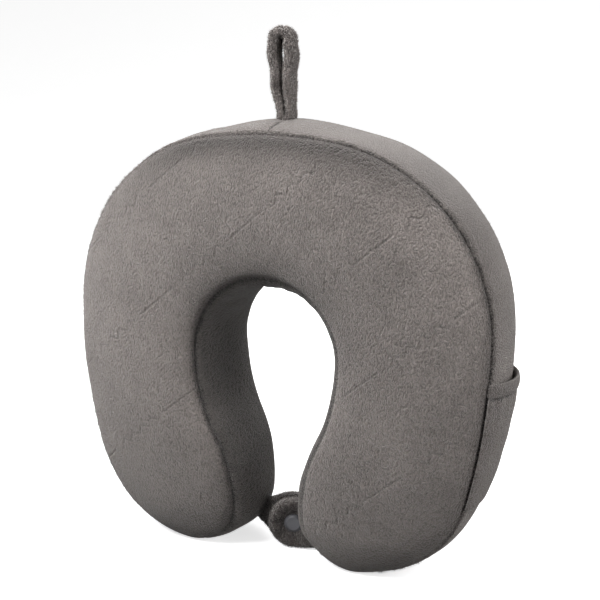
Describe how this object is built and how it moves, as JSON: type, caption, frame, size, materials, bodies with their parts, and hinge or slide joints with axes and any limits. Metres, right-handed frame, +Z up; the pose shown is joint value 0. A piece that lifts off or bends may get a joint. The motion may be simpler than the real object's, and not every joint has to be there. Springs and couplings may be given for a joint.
{
  "type": "u shaped neck pillow",
  "caption": "U-shaped memory foam travel pillow in a plush cover with a hanging loop, a side phone pocket, a zip and two chin straps closed by a press snap.",
  "frame": {"origin": "on the floor under the middle of the pillow, halfway between the two arm ends it stands on and halfway through its thickness", "axes": "+Z up from the arm ends to the nape and its hanging loop, -Y out of the front panel, +Y out of the back panel, +X towards the flank with the phone pocket"},
  "size_m": [0.2993, 0.0976, 0.3332],
  "materials": {
    "plush": "short-pile grey velour, matt with a soft sheen",
    "plush_trim": "the same velour, folded and sewn, darker pile",
    "lining": "thin knitted polyester",
    "foam": "open-cell memory foam, matt",
    "zip_tape": "woven polyester tape",
    "zip_coil": "moulded nylon coil, satin",
    "zip_metal": "gunmetal plated die casting, satin",
    "snap_plastic": "moulded acetal, satin slate grey",
    "elastic": "knitted elastic",
    "label": "blank woven satin tag"
  },
  "bodies": {
    "pillow": {"foam_core": "foam", "inner_liner": "lining", "front_panel": "plush", "back_panel": "plush", "outer_gusset_right": "plush", "outer_gusset_left": "plush", "inner_gusset_right": "plush", "inner_gusset_left": "plush", "zipper_tape_front": "zip_tape", "zipper_tape_rear": "zip_tape", "zipper_coil_front": "zip_coil", "zipper_coil_rear": "zip_coil", "zipper_stop_top": "zip_metal", "zipper_stop_bottom": "zip_metal", "phone_pocket": "plush", "pocket_hem": "plush", "pocket_elastic": "elastic", "care_label": "label"},
    "loop": {"hang_loop": "plush_trim"},
    "strap_left": {"strap_left": "plush_trim", "snap_stud": "snap_plastic", "snap_cap_rear": "snap_plastic"},
    "strap_right": {"strap_right": "plush_trim", "snap_socket": "snap_plastic", "snap_cap_front": "snap_plastic"},
    "slider": {"zipper_slider": "zip_metal"},
    "pull": {"zipper_pull": "zip_metal"}
  },
  "joints": [
    {"name": "strap_left_swing", "type": "hinge", "parent": "pillow", "child": "strap_left", "pos_m": [-0.03, 0.027, 0.0173], "axis": [0, 0, 1], "range_deg": [0, 110]},
    {"name": "strap_right_swing", "type": "hinge", "parent": "pillow", "child": "strap_right", "pos_m": [0.0228, 0.0023, 0.0173], "axis": [0, 0, 1], "range_deg": [0, 32]},
    {"name": "loop_flop", "type": "hinge", "parent": "pillow", "child": "loop", "pos_m": [0, -0.003, 0.28099], "axis": [0, 1, 0], "range_deg": [-75, 75], "stiffness_Nm_per_rad": 0.02},
    {"name": "zip_travel", "type": "hinge", "parent": "pillow", "child": "slider", "pos_m": [-0.02454, 0, 0.1528], "axis": [0, 1, 0], "range_deg": [0, 58]},
    {"name": "pull_flip", "type": "hinge", "parent": "slider", "child": "pull", "pos_m": [-0.14446, 0, 0.17611], "axis": [0, 1, 0], "range_deg": [0, 150]}
  ]
}
